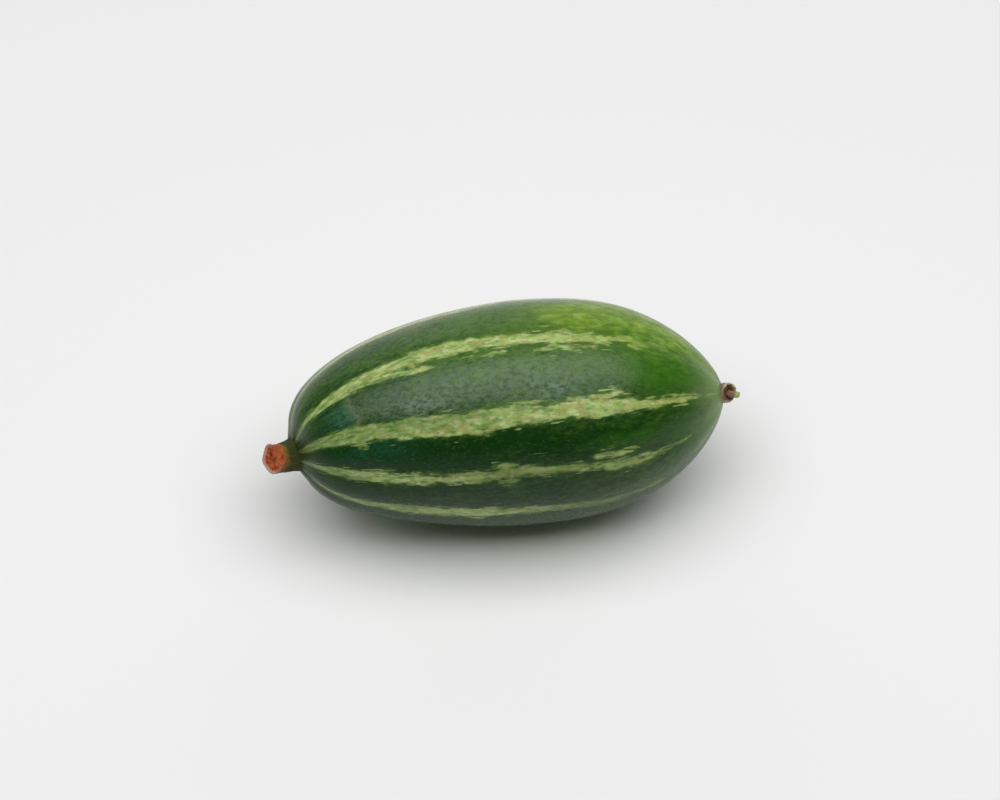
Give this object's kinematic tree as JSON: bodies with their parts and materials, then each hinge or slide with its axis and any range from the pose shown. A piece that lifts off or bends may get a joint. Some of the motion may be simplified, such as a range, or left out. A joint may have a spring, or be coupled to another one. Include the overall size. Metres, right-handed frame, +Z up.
{
  "type": "pointed gourd",
  "caption": "Pointed gourd (parwal): plump green striped fruit, blunt at its cut stalk stub and pointed at its withered blossom tip, lying on its side.",
  "frame": {"origin": "centre of the bounding box in X and Y, on the surface that the fruit rests on", "axes": "+X along the fruit from the stalk end to the blossom end, +Z up, -Y the side that the picture shows"},
  "size_m": [0.0848, 0.0394, 0.0388],
  "materials": {
    "skin": "waxy satin green skin with pale yellow-green stripes",
    "cut_stalk": "fibrous tan-brown stub with an orange-brown cut face",
    "withered_blossom": "dry, papery, reddish-brown"
  },
  "bodies": {
    "root": {"gourd": "skin", "stalk": "cut_stalk", "blossom_tip": "withered_blossom"}
  },
  "joints": []
}
